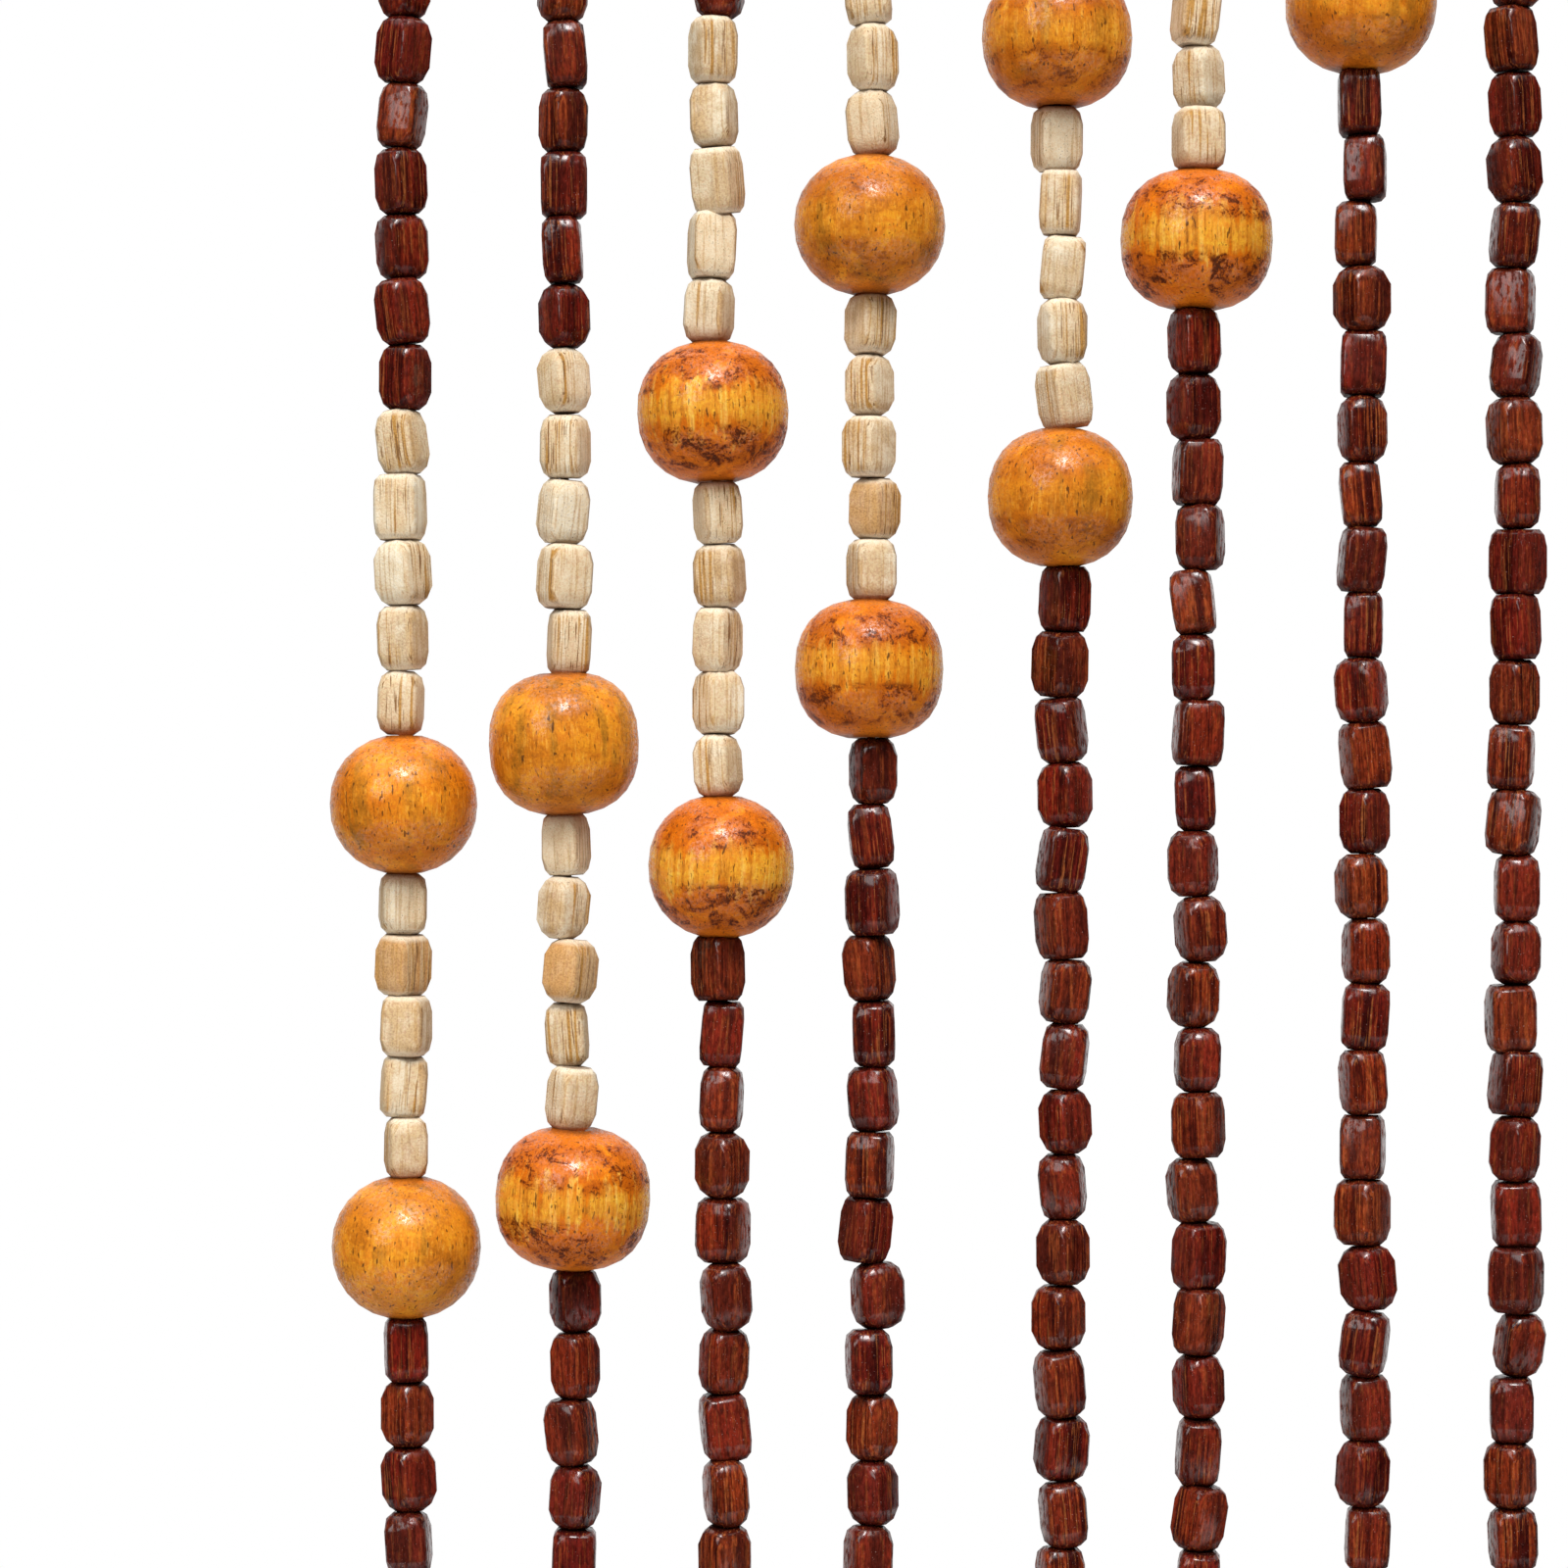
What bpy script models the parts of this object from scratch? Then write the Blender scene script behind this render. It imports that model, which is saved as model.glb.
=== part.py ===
"""A doorway curtain of wooden beads threaded on cords that hang from a sewn heading tape.

The heading tape is folded cloth. A narrow braid is sewn under it, and every beaded strand hangs from the braid.
A strand's small beads are one four-sided bar here, and each large bead is a four-sided swelling of it.
The origin is the middle of the tape's top edge. +Z is up, +X is to the viewer's right, and the front faces -Y.
"""

import math

import bmesh
import bpy
from mathutils import Vector

# Heading, in metres
WIDTH = 0.900
DROP = 1.800
TAPE_HEIGHT = 0.025
TAPE_THICK = 0.003
FOLD_RADIUS = 0.0010
FOLD_SEGMENTS = 3
SEAT_GAP = 0.0003
BRAID_HEIGHT = 0.006
BRAID_THICK = 0.0024

# Strands
STRANDS = 42
STRAND_PITCH = 0.0212
CORD_SIDE = 0.0018
BARE_CORD = 0.0025
END_KNOT = 0.004

# Beads: the height that each kind takes on its cord, and the width of its swelling
BEAD_HEIGHT = {"dark": 0.00874, "light": 0.00836, "large": 0.0183}
SMALL_HALF_WIDTH = 0.0033
LARGE_HALF_WIDTH = 0.0096
LARGE_SHOULDER = 0.0046

# Order of the beads on a cord: two groups of light beads, each closed by a large one, then a dark run
LIGHT_GROUP = 5
DARK_RUN = 42
STEP_BEADS = 3

# The stretch that is known strand by strand: its middle and half height, and the chevron's foot in it
KNOWN_MIDDLE = -0.900
KNOWN_HALF = 0.1045
CHEVRON_FOOT = KNOWN_MIDDLE - 0.0620

# How each known strand hangs, in millimetres, from the curtain's left edge inwards.
# lower_large is the height of its lower large bead over the known stretch's middle.
# pair is how far the upper large bead sits above the lower one.
# The sways are sideways places at the top, middle and bottom of the stretch, from the strand's own seat.
KNOWN_STRANDS = [
    {"lower_large": -61.7, "pair": 59.0, "sways": (-0.4, 0.8, 1.4)},
    {"lower_large": -55.2, "pair": 60.6, "sways": (0.2, 1.3, 3.0)},
    {"lower_large": -11.0, "pair": 60.5, "sways": (-0.6, 0.6, 3.4)},
    {"lower_large": 15.3, "pair": 59.2, "sways": (-0.6, -0.4, 0.1)},
    {"lower_large": 38.2, "pair": 61.2, "sways": (3.1, 3.9, 3.9)},
    {"lower_large": 72.5, "pair": 60.1, "sways": (0.5, 0.2, 1.6)},
    {"lower_large": 104.2, "pair": 60.1, "sways": (1.2, 1.7, 2.7)},
    {"lower_large": 130.0, "pair": 60.1, "sways": (0.4, -0.5, 1.0)},
]
MM = 0.001
UNEVEN_SWAY = 0.0014
UNEVEN_SEAT = 0.0030
STRAND_PHASE = 2.4
LEVEL_PHASE = 1.7

STRAND_TOP = -(TAPE_HEIGHT + SEAT_GAP + BRAID_HEIGHT + BARE_CORD)
STRAND_END = -(DROP - END_KNOT)


def uneven(strand, level):
    """A number from -1 to 1 that differs for each strand and level, and is the same each time."""
    return math.sin(STRAND_PHASE * strand + LEVEL_PHASE * level)


def seat_x(strand):
    return (strand - (STRANDS - 1) / 2) * STRAND_PITCH


def chevron_height(strand):
    """Centre of the strand's lower large bead in the chevron that crosses the known stretch."""
    if strand < len(KNOWN_STRANDS):
        return KNOWN_MIDDLE + KNOWN_STRANDS[strand]["lower_large"] * MM
    from_edge = min(strand, STRANDS - 1 - strand)
    rise = from_edge * STEP_BEADS * BEAD_HEIGHT["dark"]
    return CHEVRON_FOOT + rise + UNEVEN_SEAT * uneven(strand, 0)


def pair_rise(strand):
    """How far the chevron's upper large bead sits above its lower one."""
    if strand < len(KNOWN_STRANDS):
        return KNOWN_STRANDS[strand]["pair"] * MM
    return LIGHT_GROUP * BEAD_HEIGHT["light"] + BEAD_HEIGHT["large"]


def sway_points(strand):
    """(height, sideways offset) pairs that the strand passes through, top to bottom."""
    if strand < len(KNOWN_STRANDS):
        offsets = [sway * MM for sway in KNOWN_STRANDS[strand]["sways"]]
    else:
        offsets = [UNEVEN_SWAY * uneven(strand, level) for level in (1, 2, 3)]
    heights = [KNOWN_MIDDLE + KNOWN_HALF, KNOWN_MIDDLE, KNOWN_MIDDLE - KNOWN_HALF]
    return [(0.0, 0.0), *zip(heights, offsets), (-DROP, offsets[-1])]


def strand_x(strand, height):
    """The strand's place across the curtain at a height, eased between its sway points."""
    points = sway_points(strand)
    for (upper, from_x), (lower, to_x) in zip(points, points[1:]):
        if height >= lower:
            share = (upper - height) / (upper - lower)
            eased = share * share * (3 - 2 * share)
            return seat_x(strand) + from_x + (to_x - from_x) * eased
    return seat_x(strand) + points[-1][1]


def kinds_to_end(first, repeat, room):
    """Bead kinds from a chevron's bead outwards: the rest of its motif, whole repeats, then dark beads."""
    kinds = list(first)

    def length():
        return sum(BEAD_HEIGHT[kind] for kind in kinds)

    repeat_length = sum(BEAD_HEIGHT[kind] for kind in repeat)
    while length() + repeat_length < room:
        kinds += repeat
    kinds += ["dark"] * round((room - length()) / BEAD_HEIGHT["dark"])
    return kinds


def large_centres(strand):
    """Heights of the strand's large beads, top to bottom, with every cord filled by whole beads."""
    group = ["light"] * LIGHT_GROUP
    motif = [*group, "large", *group, "large"]
    gap = ["dark"] * DARK_RUN
    lower = chevron_height(strand)
    upper = lower + pair_rise(strand)
    centres = [lower, upper]
    for way, start, end, first, repeat in (
        (1, upper, STRAND_TOP, group, gap + motif[::-1]),
        (-1, lower, STRAND_END, [], gap + motif),
    ):
        edge = start + way * BEAD_HEIGHT["large"] / 2
        room = abs(end - edge)
        kinds = kinds_to_end(first, repeat, room)
        stretch = room / sum(BEAD_HEIGHT[kind] for kind in kinds)
        for kind in kinds:
            height = BEAD_HEIGHT[kind] * stretch
            if kind == "large":
                centres.append(edge + way * height / 2)
            edge += way * height
    return sorted(centres, reverse=True)


def material(name, colour, roughness):
    made = bpy.data.materials.new(name)
    made.use_nodes = True
    shader = made.node_tree.nodes["Principled BSDF"]
    shader.inputs["Base Color"].default_value = (*colour, 1)
    shader.inputs["Roughness"].default_value = roughness
    shader.inputs["Metallic"].default_value = 0.0
    return made


def new_object(name, bm, finish):
    mesh = bpy.data.meshes.new(name)
    bmesh.ops.recalc_face_normals(bm, faces=bm.faces)
    bm.to_mesh(mesh)
    bm.free()
    made = bpy.data.objects.new(name, mesh)
    made.data.materials.append(finish)
    bpy.context.scene.collection.objects.link(made)
    return made


def heading_tape(finish):
    """The folded tape: a flat strip whose top edge is a rounded fold."""
    bm = bmesh.new()
    bmesh.ops.create_cube(bm, size=1)
    bmesh.ops.scale(bm, vec=(WIDTH, TAPE_THICK, TAPE_HEIGHT), verts=bm.verts)
    bmesh.ops.translate(bm, vec=(0, 0, -TAPE_HEIGHT / 2), verts=bm.verts)
    fold = []
    for edge in bm.edges:
        first, second = (vert.co for vert in edge.verts)
        at_top = min(first.z, second.z) > -FOLD_RADIUS
        if at_top and abs(second.x - first.x) > FOLD_RADIUS:
            fold.append(edge)
    bmesh.ops.bevel(bm, geom=fold, offset=FOLD_RADIUS, segments=FOLD_SEGMENTS, profile=0.5, affect="EDGES")
    return new_object("heading_tape", bm, finish)


def braid(bm):
    """The narrow strip under the tape. Returns the underside faces that the cords leave, left to right."""
    top = -(TAPE_HEIGHT + SEAT_GAP)
    cuts = [-WIDTH / 2]
    for strand in range(STRANDS):
        cuts += [seat_x(strand) - CORD_SIDE / 2, seat_x(strand) + CORD_SIDE / 2]
    cuts.append(WIDTH / 2)
    under = top - BRAID_HEIGHT
    front, back = -BRAID_THICK / 2, BRAID_THICK / 2
    corners = [(front, top), (front, under), (back, under), (back, top)]
    rings = [[bm.verts.new((x, y, z)) for y, z in corners] for x in cuts]
    bm.faces.new(rings[0])
    bm.faces.new(rings[-1][::-1])
    underside = []
    for left, right in zip(rings, rings[1:]):
        for side, corner in enumerate(corners):
            after = (side + 1) % len(corners)
            face = bm.faces.new((left[side], right[side], right[after], left[after]))
            if corner[1] == corners[after][1] == under:
                underside.append(face)
    return underside[1::2]


def drop_to(bm, face, x, height, half_width):
    """Extrudes a four-sided face down to a square at a place, and returns the square."""
    middle = face.calc_center_median()
    lower = bmesh.ops.extrude_discrete_faces(bm, faces=[face])["faces"][0]
    for vert in lower.verts:
        across = math.copysign(half_width, vert.co.x - middle.x)
        deep = math.copysign(half_width, vert.co.y - middle.y)
        vert.co = Vector((x + across, deep, height))
    return lower


def hang_strand(bm, face, strand):
    """One strand, from its root on the braid to its last bead."""
    half_large = BEAD_HEIGHT["large"] / 2
    rings = [(STRAND_TOP, SMALL_HALF_WIDTH)]
    for centre in large_centres(strand):
        rings += [
            (centre + half_large, SMALL_HALF_WIDTH),
            (centre + LARGE_SHOULDER, LARGE_HALF_WIDTH),
            (centre - LARGE_SHOULDER, LARGE_HALF_WIDTH),
            (centre - half_large, SMALL_HALF_WIDTH),
        ]
    rings += [(STRAND_END, SMALL_HALF_WIDTH), (-DROP, CORD_SIDE / 2)]
    for height, half_width in rings:
        face = drop_to(bm, face, strand_x(strand, height), height, half_width)


def bead_strands(finish):
    """The braid with every strand fused to its underside."""
    bm = bmesh.new()
    for strand, root in enumerate(braid(bm)):
        hang_strand(bm, root, strand)
    return new_object("bead_strands", bm, finish)


def main():
    for old in list(bpy.data.objects):
        bpy.data.objects.remove(old)
    heading_tape(material("brown_tape", (0.070, 0.022, 0.012), 0.85))
    bead_strands(material("stained_bead_wood", (0.115, 0.018, 0.010), 0.38))


main()
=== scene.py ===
"""Looks of a doorway bead curtain: wooden beads strung on cords under a folded heading tape.

The file is laid out as an add-on and run as a script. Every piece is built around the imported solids.
A strand's route and the places of its large beads are read from its solid. Small beads fill what is left.
Lengths are in metres, and those in the grain of the wood are in millimetres.
"""

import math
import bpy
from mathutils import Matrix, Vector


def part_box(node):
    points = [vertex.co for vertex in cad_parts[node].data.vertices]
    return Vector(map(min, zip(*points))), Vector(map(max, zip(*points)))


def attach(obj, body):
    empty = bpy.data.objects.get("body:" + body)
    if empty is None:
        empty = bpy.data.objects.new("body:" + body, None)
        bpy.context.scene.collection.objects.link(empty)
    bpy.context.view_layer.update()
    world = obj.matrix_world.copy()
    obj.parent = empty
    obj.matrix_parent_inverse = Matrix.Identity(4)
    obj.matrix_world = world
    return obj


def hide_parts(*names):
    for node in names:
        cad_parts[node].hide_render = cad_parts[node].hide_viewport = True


bl_info = {
    "name": "Doorway bead curtain",
    "version": (1, 0, 0),
    "blender": (4, 5, 0),
    "location": "3D View > Sidebar > Curtain",
    "description": "Strings wooden beads on cords under a heading tape, and sets them on a plain stage",
    "category": "Object",
}

import bmesh
import bpy
import numpy as np
from mathutils import Vector

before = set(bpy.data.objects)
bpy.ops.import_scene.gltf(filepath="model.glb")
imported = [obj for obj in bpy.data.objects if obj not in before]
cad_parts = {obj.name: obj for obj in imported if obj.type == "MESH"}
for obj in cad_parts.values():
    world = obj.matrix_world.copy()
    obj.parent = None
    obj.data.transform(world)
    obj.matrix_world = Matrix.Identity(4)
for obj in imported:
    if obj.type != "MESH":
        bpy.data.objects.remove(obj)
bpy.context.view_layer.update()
TAPE_LOW, TAPE_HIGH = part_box("heading_tape")
STRANDS_LOW, STRANDS_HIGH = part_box("bead_strands")

MM = 0.001
ATLAS = "OFBake"

# Starts of the random series: one for sizes, places and turns, and one for the large beads' shades
SEED = 17
LARGE_SHADES = 121793

# Each bead's grain is shifted by whole steps of twice this length, so folding it there gives the distance
# from the bead's own middle
GRAIN_STEP = 5.0


# Sizes and colours that a user would change


def length_property(name, description, default):
    return bpy.props.FloatProperty(name=name, description=description, default=default, unit="LENGTH")


class CurtainSizes(bpy.types.PropertyGroup):
    """Sizes of the beads, the cords and the heading."""

    small_width: length_property("Small bead width", "Width across the flats of a small bead", 0.00565)
    small_length: length_property("Small bead length", "Length of a small bead along its cord", 0.0085)
    dark_pitch: length_property("Dark bead pitch", "Length of cord that a dark bead takes up", 0.00874)
    light_group: bpy.props.IntProperty(
        name="Light beads in a group",
        description="Number of light beads strung above each large one",
        default=5,
    )
    large_width: length_property("Large bead width", "Diameter of a large bead at its equator", 0.0200)
    large_length: length_property("Large bead length", "Length of a large bead from pole to pole", 0.0190)
    large_pitch: length_property("Large bead pitch", "Length of cord that a large bead takes up", 0.0183)
    cord: length_property("Cord thickness", "Diameter of the cord through the beads", 0.0011)
    shift: length_property("Bead shift", "How far a small bead usually sits off its cord", 0.00034)
    tilt: bpy.props.FloatProperty(
        name="Bead tilt",
        description="How far a small bead usually leans",
        default=math.radians(3.2),
        unit="ROTATION",
        subtype="ANGLE",
    )
    cloth: length_property("Tape cloth", "Thickness of one layer of the heading tape", 0.0011)
    stitch: length_property("Stitch", "Length of one stitch on the heading tape", 0.0027)
    plait: length_property("Plait", "Length of braid in which its yarns cross over once and back", 0.0090)


def colour_property(name, description, default):
    return bpy.props.FloatVectorProperty(
        name=name,
        description=description,
        default=default,
        size=3,
        min=0.0,
        max=1.0,
        subtype="COLOR",
    )


class CurtainColours(bpy.types.PropertyGroup):
    """Main colours of the woods and the cloth."""

    dark: colour_property("Dark bead", "Red-brown stain of the dark beads", (0.160, 0.0100, 0.0050))
    dark_fibre: colour_property("Dark fibre", "Paler fibres under the stain", (0.29, 0.060, 0.014))
    light: colour_property("Light bead", "Bare wood of the light beads", (0.84, 0.72, 0.52))
    light_fibre: colour_property("Light fibre", "Tan fibres of the light beads", (0.47, 0.240, 0.058))
    amber: colour_property("Amber", "Stain of the large beads", (0.69, 0.192, 0.005))
    orange: colour_property("Orange", "Stain that has soaked into a large bead's ends", (0.74, 0.176, 0.003))
    honey: colour_property("Honey", "Wood that shows at a large bead's equator", (0.80, 0.34, 0.026))
    scorch: colour_property("Scorch", "Burnt specks on the large beads", (0.120, 0.015, 0.001))
    tape: colour_property("Tape", "Cloth of the heading tape", (0.070, 0.022, 0.012))
    cord: colour_property("Cord", "Thread of the cords", (0.012, 0.006, 0.004))


class CurtainStage(bpy.types.PropertyGroup):
    """Camera, floor and lights."""

    view_width: length_property("View width", "Width of the picture where it meets the curtain", 0.2090)
    view_side: length_property("View side", "Distance from the first strand to the picture's middle", 0.0516)
    view_height: length_property("View height", "Height of the picture's middle from the top edge", -0.900)
    lens: bpy.props.FloatProperty(
        name="Lens",
        description="Focal length of the camera in millimetres",
        default=100.0,
        unit="CAMERA",
    )
    floor_gap: length_property("Floor gap", "Height of the last beads above the floor", 0.030)


# Materials


SHADER_INPUTS = {
    "roughness": "Roughness",
    "specular": "Specular IOR Level",
    "coat_roughness": "Coat Roughness",
}


class Number:
    """A number in a node tree. Arithmetic on it adds the Math nodes."""

    def __init__(self, graph, socket):
        self.graph = graph
        self.socket = socket

    def _maths(self, operation, *values):
        made = self.graph.node("ShaderNodeMath", {"operation": operation}, dict(enumerate(values)))
        return Number(self.graph, made.outputs[0])

    def __add__(self, other):
        return self._maths("ADD", self, other)

    __radd__ = __add__

    def __mul__(self, other):
        return self._maths("MULTIPLY", self, other)

    __rmul__ = __mul__

    def __sub__(self, other):
        return self._maths("SUBTRACT", self, other)

    def __rsub__(self, other):
        return self._maths("SUBTRACT", other, self)

    def __abs__(self):
        return self._maths("ABSOLUTE", self)

    def folded(self, length):
        """Distance from the nearest multiple of twice a length."""
        return self._maths("PINGPONG", self, length)

    def between(self, low, high):
        """0 below low, 1 above high, and eased between them."""
        made = self.graph.node(
            "ShaderNodeMapRange",
            {"interpolation_type": "SMOOTHSTEP"},
            {"Value": self, "From Min": low, "From Max": high},
        )
        return Number(self.graph, made.outputs["Result"])


class Graph:
    """A node tree, and the short ways to add what the looks here are made of."""

    def __init__(self, tree):
        self.tree = tree

    def node(self, kind, settings=None, inputs=None):
        """Adds a node, makes its settings, and then gives each input its value or its link."""
        made = self.tree.nodes.new(kind)
        for key, value in (settings or {}).items():
            setattr(made, key, value)
        self.fill(made, inputs or {})
        return made

    def fill(self, node, inputs):
        for key, value in inputs.items():
            if isinstance(value, Number):
                value = value.socket
            if isinstance(value, bpy.types.NodeSocket):
                self.tree.links.new(value, node.inputs[key])
            else:
                node.inputs[key].default_value = value

    def named(self, attribute):
        return self.node("ShaderNodeAttribute", {"attribute_name": attribute}).outputs["Vector"]

    def parts(self, vector):
        made = self.node("ShaderNodeSeparateXYZ", None, {0: vector})
        return [Number(self, socket) for socket in made.outputs]

    def here(self):
        return self.node("ShaderNodeTexCoord").outputs["Object"]

    def stretched(self, vector, factors):
        made = self.node("ShaderNodeVectorMath", {"operation": "MULTIPLY"}, {0: vector, 1: factors})
        return made.outputs[0]

    def noise(self, vector, scale, detail=2.0, roughness=0.5, distortion=0.0):
        inputs = {"Vector": vector, "Scale": scale, "Detail": detail}
        inputs.update({"Roughness": roughness, "Distortion": distortion})
        return Number(self, self.node("ShaderNodeTexNoise", None, inputs).outputs["Fac"])

    def streaks(self, vector, factors, *settings):
        """Noise that is drawn out along the axes whose factors are small."""
        return self.noise(self.stretched(vector, factors), *settings)

    def waves(self, vector, direction, scale, distortion):
        settings = {"wave_type": "BANDS", "bands_direction": direction}
        inputs = {"Vector": vector, "Scale": scale, "Distortion": distortion}
        return Number(self, self.node("ShaderNodeTexWave", settings, inputs).outputs["Fac"])

    def mix(self, share, first, second, blend="MIX"):
        """The first colour where share is 0, and the second where it is 1."""
        made = self.node(
            "ShaderNodeMix",
            {"data_type": "RGBA", "blend_type": blend},
            {0: share, 6: opaque(first), 7: opaque(second)},
        )
        return made.outputs[2]

    def gritty(self, colour, grit, amount):
        """Lightens and darkens a colour by a noise, about its own value."""
        grey = self.mix(grit.between(0.34, 0.66), (0.0, 0.0, 0.0), (1.0, 1.0, 1.0))
        return self.mix(amount, colour, grey, "OVERLAY")

    def bump(self, height, distance, under=None):
        inputs = {"Height": height, "Distance": distance}
        if under is not None:
            inputs["Normal"] = under
        return self.node("ShaderNodeBump", None, inputs).outputs[0]


def opaque(colour):
    return colour if isinstance(colour, bpy.types.NodeSocket) else (*colour, 1.0)


class Finish(Graph):
    """One material, whose shader starts with these constant settings."""

    def __init__(self, name, **shader):
        self.material = bpy.data.materials.new(name)
        self.material.use_nodes = True
        super().__init__(self.material.node_tree)
        self.shader = self.tree.nodes["Principled BSDF"]
        self.set({SHADER_INPUTS[key]: value for key, value in shader.items()})

    def set(self, inputs):
        self.fill(self.shader, inputs)


def dark_wood(colours):
    """Red-brown stain under satin lacquer, with fibres along the bead. Each bead has its own shade."""
    finish = Finish("dark_bead_wood", specular=0.02, coat_roughness=0.15)
    place = finish.named("grain")
    tone, warmth, height = finish.parts(finish.named("look"))
    fibres = finish.streaks(place, (1, 0.5, 0.030), 3.1, 2, 0.6)
    bands = finish.streaks(place, (1, 0.4, 0.05), 0.70, 2, 0.5)
    pores = finish.streaks(place, (1, 1, 0.20), 3.6, 2, 0.6)
    blotches = finish.noise(place, 0.50, 3, 0.6)
    peel = finish.streaks(place, (1, 1, 0.45), 1.5, 3, 0.62)

    deep = (0.030, 0.0026, 0.0018)
    stain = finish.mix(tone, (0.092, 0.0082, 0.0056), colours.dark)
    stain = finish.mix(warmth * 0.70, stain, (0.215, 0.034, 0.0070))
    colour = finish.mix(bands.between(0.32, 0.60), deep, stain)
    colour = finish.mix(fibres.between(0.54, 0.66) * (0.35 + 0.5 * warmth), colour, colours.dark_fibre)
    colour = finish.mix((1 - fibres.between(0.36, 0.48)) * 0.80, colour, deep)
    colour = finish.mix(pores.between(0.66, 0.72) * 0.70, colour, (0.010, 0.002, 0.002))
    colour = finish.mix(blotches.between(0.50, 0.72) * 0.45, colour, deep)
    # Darker towards both ends: partly darker end grain, partly painted shade where the beads meet
    ends = abs(height).between(0.72, 1.0)
    colour = finish.mix(ends * 0.60, colour, (0.036, 0.0034, 0.0024))
    sides = finish.parts(place)[0].folded(GRAIN_STEP).between(1.9, 2.5)
    colour = finish.mix(sides * 0.14, colour, (0.200, 0.036, 0.018))
    threads = finish.streaks(place, (1, 0.6, 0.022), 4.0, 1, 0.5)
    colour = finish.mix(threads.between(0.62, 0.67) * (1 - 0.7 * sides) * 0.52, colour, (0.34, 0.105, 0.028))
    # Near-black painted shade on the ring where each bead meets its neighbour
    painted_contact_shade = abs(height).between(0.955, 1.0)
    colour = finish.mix(painted_contact_shade * 0.80, colour, (0.008, 0.002, 0.002))
    grit = finish.streaks(place, (1, 1, 0.35), 2.6, 3, 0.65)
    colour = finish.gritty(colour, grit, 0.38)
    # Sparse pale pinkish specks: painted glints
    painted_glints = finish.noise(place, 5.5, 1, 0.5).between(0.72, 0.76)
    colour = finish.mix(painted_glints * 0.45, colour, (0.50, 0.30, 0.25))

    relief = finish.bump(fibres, 0.04 * MM)
    relief = finish.bump(peel, 0.09 * MM, relief)
    finish.set({"Base Color": colour, "Roughness": 0.40 + 0.2 * blotches, "Normal": relief})
    underside = (0 - height).between(0.45, 0.85)
    finish.set({"Coat Weight": (0.03 + 0.97 * peel.between(0.39, 0.54)) * (1 - 0.85 * underside)})
    return finish.material


def light_wood(colours):
    """Bare pale wood in thin layers, whose edges show as lines on two of a bead's four sides."""
    finish = Finish("light_bead_wood", specular=0.20)
    place = finish.named("grain")
    tone, large_bead_end, height = finish.parts(finish.named("look"))
    layers = finish.streaks(place, (1, 0.14, 0.022), 2.1, 2, 0.55)
    bands = finish.streaks(place, (1, 0.20, 0.04), 0.45, 2, 0.5)
    hairs = finish.streaks(place, (1, 0.4, 0.04), 4.4, 1, 0.5)
    specks = finish.noise(place, 3.4, 3, 0.65)
    clouds = finish.noise(place, 0.45, 3, 0.55)

    edges = 1 - 0.8 * finish.parts(place)[0].folded(GRAIN_STEP).between(2.0, 2.6)
    tan = 1 - tone.between(0.03, 0.11)
    body = finish.mix(tone, (0.61, 0.46, 0.280), colours.light)
    colour = finish.mix(clouds.between(0.40, 0.64) * 0.65, body, (0.92, 0.84, 0.66))
    lined = bands.between(0.40, 0.56)
    colour = finish.mix(lined * 0.40, colour, (0.62, 0.37, 0.140))
    colour = finish.mix(edges * 0.22, colour, (0.60, 0.38, 0.175))
    colour = finish.mix(tan * 0.80, colour, (0.60, 0.29, 0.080))
    colour = finish.mix(layers.between(0.42, 0.46) * tan * edges * 0.60, colour, body)
    strong = edges * (0.45 + 0.55 * lined)
    colour = finish.mix(layers.between(0.53, 0.58) * strong, colour, colours.light_fibre)
    colour = finish.mix(hairs.between(0.60, 0.65) * strong, colour, (0.24, 0.115, 0.036))
    faint = finish.streaks(place, (0.3, 1, 0.030), 2.3, 2, 0.55)
    colour = finish.mix(faint.between(0.54, 0.62) * (1 - edges) * 0.55, colour, colours.light_fibre)
    ends = abs(height).between(0.74, 0.95)
    colour = finish.mix(ends * 0.65, colour, (0.90, 0.81, 0.64))
    speckled = 0.28 + 0.50 * ends + 0.55 * tone.between(0.74, 0.84)
    colour = finish.mix(specks.between(0.59, 0.67) * speckled, colour, (0.21, 0.105, 0.038))
    # Dark brown painted shade on the ring where each bead meets its neighbour
    painted_contact_shade = abs(height).between(0.955, 1.0)
    colour = finish.mix(painted_contact_shade * 0.75, colour, (0.130, 0.062, 0.026))
    # Orange-brown painted shade at the end that touches a large bead
    painted_large_bead_shade = (large_bead_end * height).between(0.55, 1.0)
    colour = finish.mix(painted_large_bead_shade * 0.55, colour, (0.50, 0.20, 0.060))
    colour = finish.gritty(colour, specks, 0.22)

    relief = finish.bump(layers, 0.07 * MM)
    relief = finish.bump(specks, 0.10 * MM, relief)
    finish.set({"Base Color": colour, "Roughness": 0.55 + 0.2 * clouds, "Normal": relief})
    return finish.material


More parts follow.
